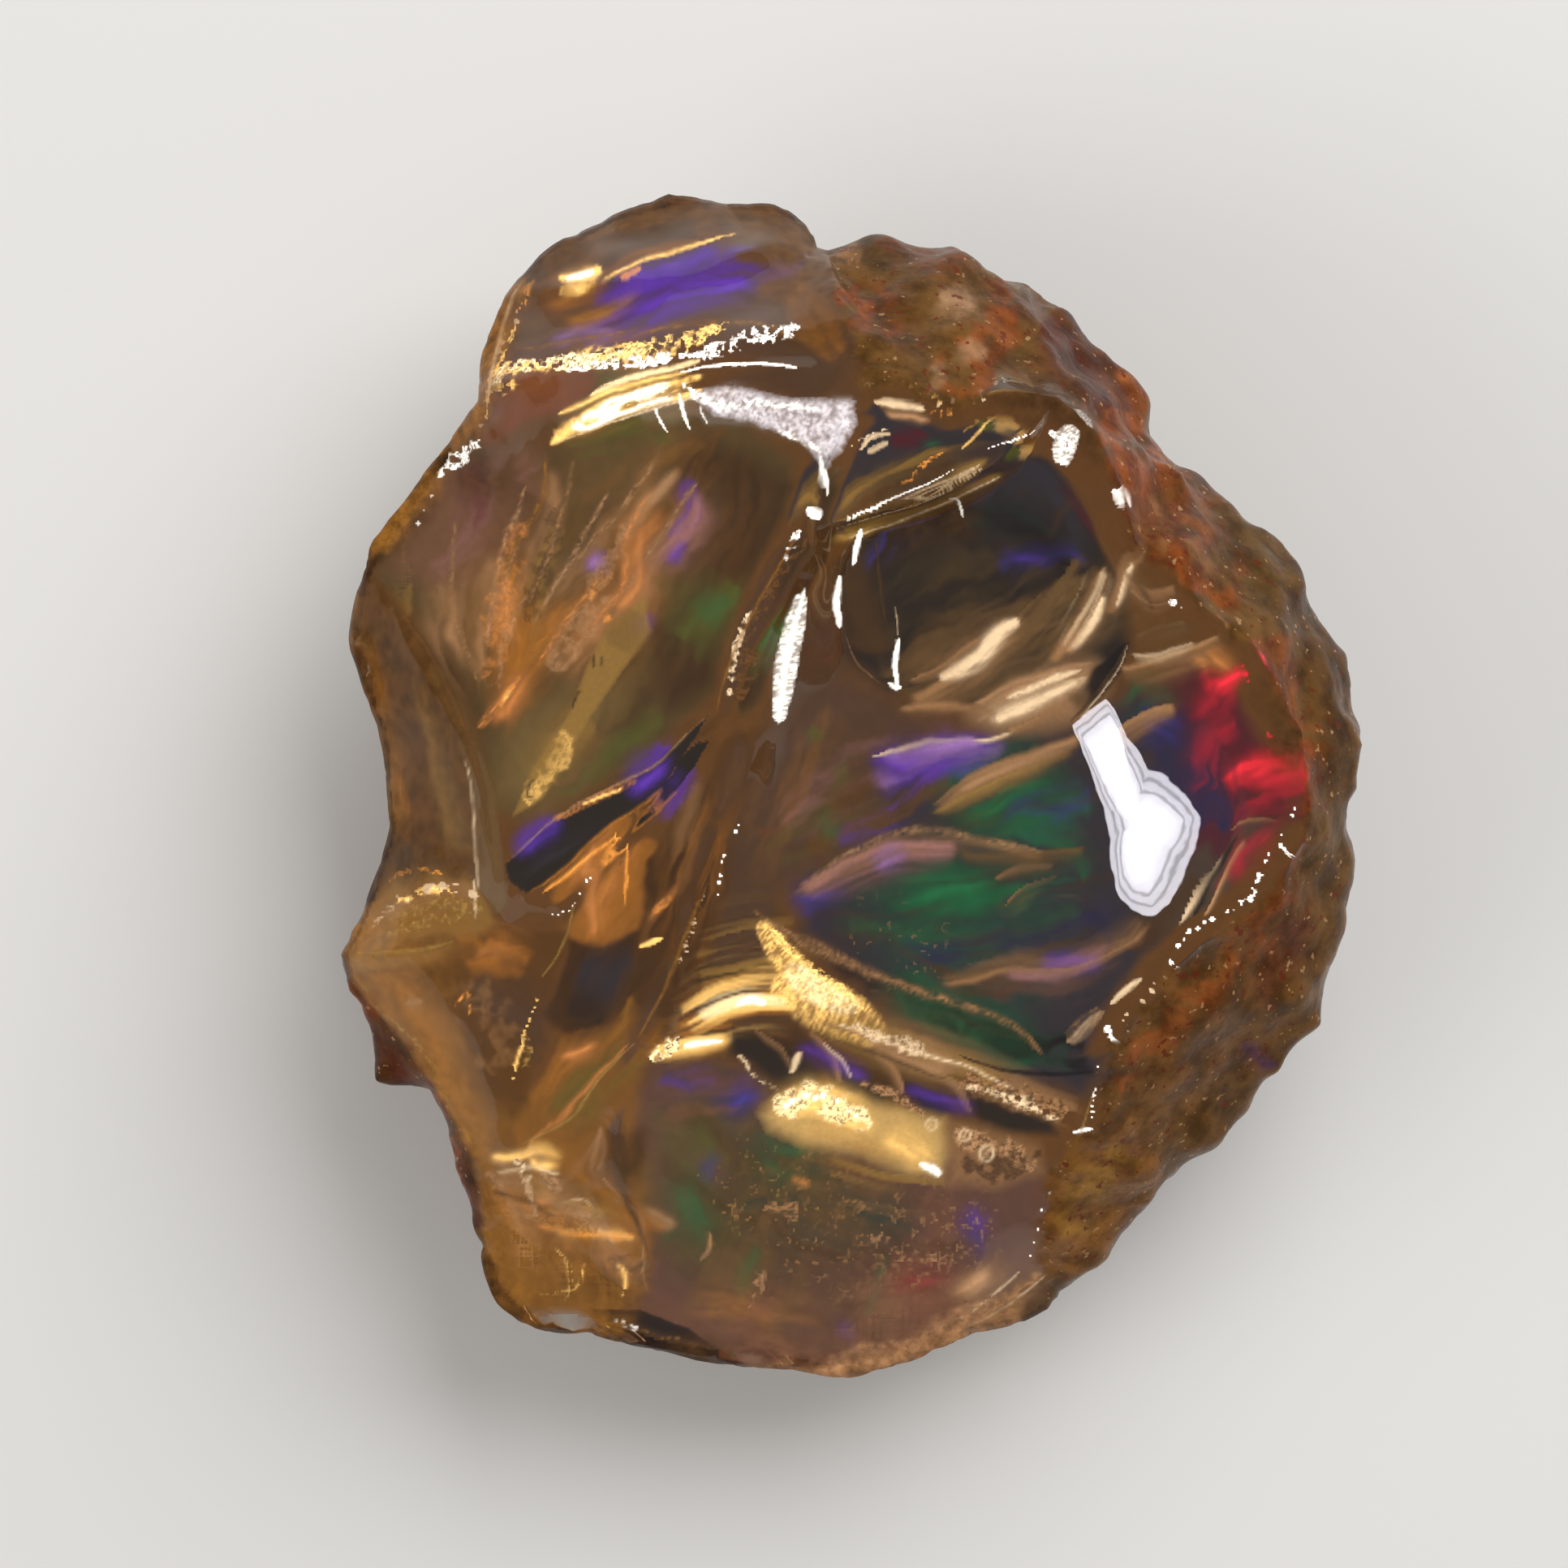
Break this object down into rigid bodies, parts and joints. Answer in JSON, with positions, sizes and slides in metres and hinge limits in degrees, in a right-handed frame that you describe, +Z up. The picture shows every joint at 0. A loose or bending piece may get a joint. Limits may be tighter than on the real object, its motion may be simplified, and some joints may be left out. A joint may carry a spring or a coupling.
{
  "type": "rough opal stone",
  "caption": "Rough opal lump of clear honey-amber stone with shell-shaped fracture faces, a sharp crest, a deep hollow and a rusty rind, lying on its back.",
  "frame": {"origin": "middle of the stone's outline in X and Y, at the level of the flat that it rests on", "axes": "+Z up, out of the broken front; +Y along the long way of the stone, towards its highest point; +X towards the rusty side"},
  "size_m": [0.0276, 0.0322, 0.0154],
  "materials": {
    "opal": "clear honey amber, glossy shell-shaped fractures, dull rusty rind on one side and the back"
  },
  "bodies": {
    "root": {"opal": "opal"}
  },
  "joints": []
}
